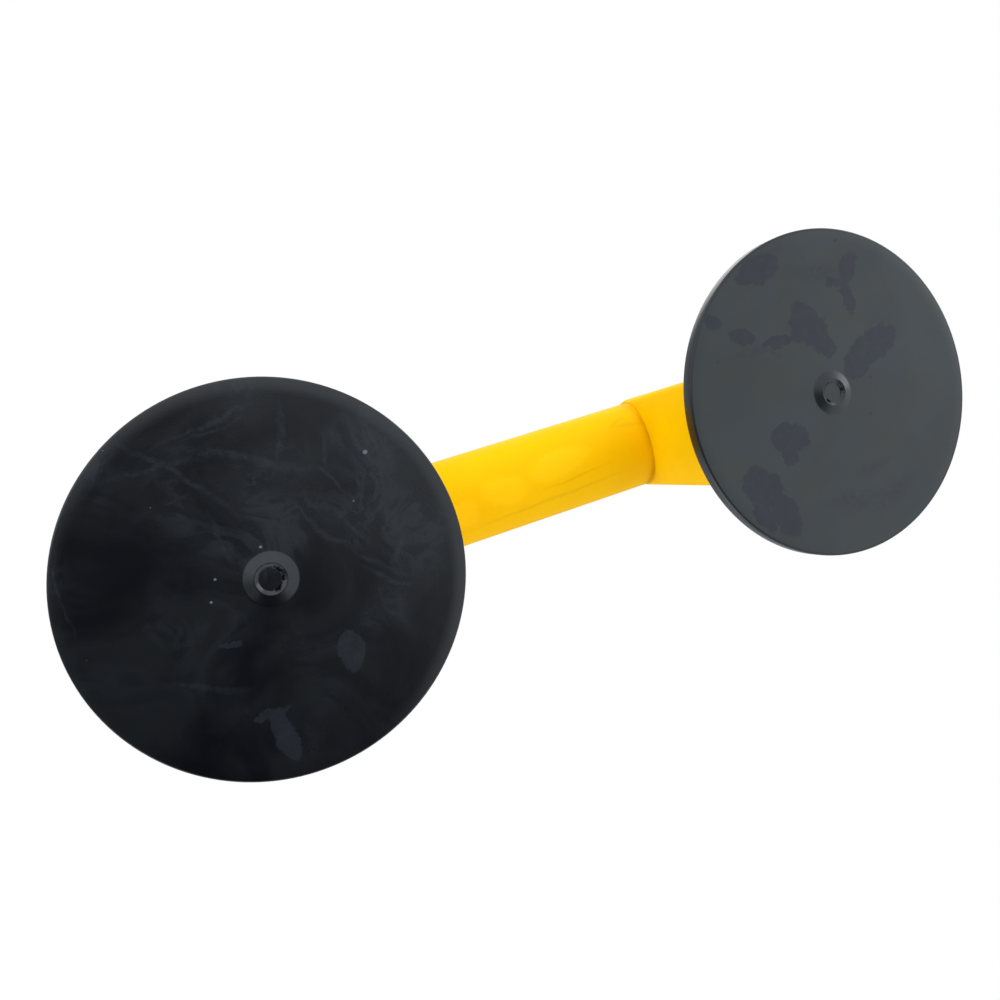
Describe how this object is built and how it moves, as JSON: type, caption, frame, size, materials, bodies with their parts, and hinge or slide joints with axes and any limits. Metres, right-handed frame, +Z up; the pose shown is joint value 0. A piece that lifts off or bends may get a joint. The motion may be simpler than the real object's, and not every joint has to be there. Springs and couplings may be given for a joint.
{
  "type": "tile suction lifter",
  "caption": "Twin-cup suction lifter for floor tiles: rubber pads under cast housings, a round grip between them, and a cam lever on each cup that draws the vacuum.",
  "frame": {"origin": "midway between the two cup axes, on the plane of the pad rims", "axes": "+Z up out of the surface that the cups stand on, +X along the grip towards the right cup"},
  "size_m": [0.33, 0.12, 0.0934],
  "materials": {
    "yellow_coat": "yellow powder coat, semi-gloss",
    "grip_coat": "yellow powder coat, semi-gloss",
    "black_rubber": "matt moulded, lightly scuffed",
    "zinc_steel": "zinc plated",
    "bush_bronze": "turned",
    "lever_plastic": "fine moulded texture"
  },
  "bodies": {
    "lifter": {"grip_tube": "grip_coat", "tie_rod": "zinc_steel", "housing_right": "yellow_coat", "pad_right": "black_rubber", "guide_bush_right": "bush_bronze", "wear_plate_right": "zinc_steel", "tie_washer_right": "zinc_steel", "tie_nut_right": "zinc_steel", "housing_left": "yellow_coat", "pad_left": "black_rubber", "guide_bush_left": "bush_bronze", "wear_plate_left": "zinc_steel", "tie_washer_left": "zinc_steel", "tie_nut_left": "zinc_steel"},
    "draw_right": {"stud_right": "zinc_steel", "cross_pin_right": "zinc_steel", "pin_clip_right": "zinc_steel"},
    "cam_right": {"lever_right": "lever_plastic"},
    "draw_left": {"stud_left": "zinc_steel", "cross_pin_left": "zinc_steel", "pin_clip_left": "zinc_steel"},
    "cam_left": {"lever_left": "lever_plastic"}
  },
  "joints": [
    {"name": "stud_slide_right", "type": "slide", "parent": "lifter", "child": "draw_right", "axis": [0, 0, 1], "range_m": [0, 0.003], "deforming": ["pad_right"]},
    {"name": "lever_turn_right", "type": "hinge", "parent": "draw_right", "child": "cam_right", "pos_m": [0.105, 0, 0.03715], "axis": [0, 1, 0], "range_deg": [0, 68]},
    {"name": "stud_slide_left", "type": "slide", "parent": "lifter", "child": "draw_left", "axis": [0, 0, 1], "range_m": [0, 0.003], "deforming": ["pad_left"]},
    {"name": "lever_turn_left", "type": "hinge", "parent": "draw_left", "child": "cam_left", "pos_m": [-0.105, 0, 0.03715], "axis": [0, -1, 0], "range_deg": [0, 68]}
  ],
  "couplings": [
    {"joint": "stud_slide_right", "follows": "lever_turn_right", "m_per_rad": 0.0025255},
    {"joint": "stud_slide_left", "follows": "lever_turn_left", "m_per_rad": 0.0025255}
  ]
}
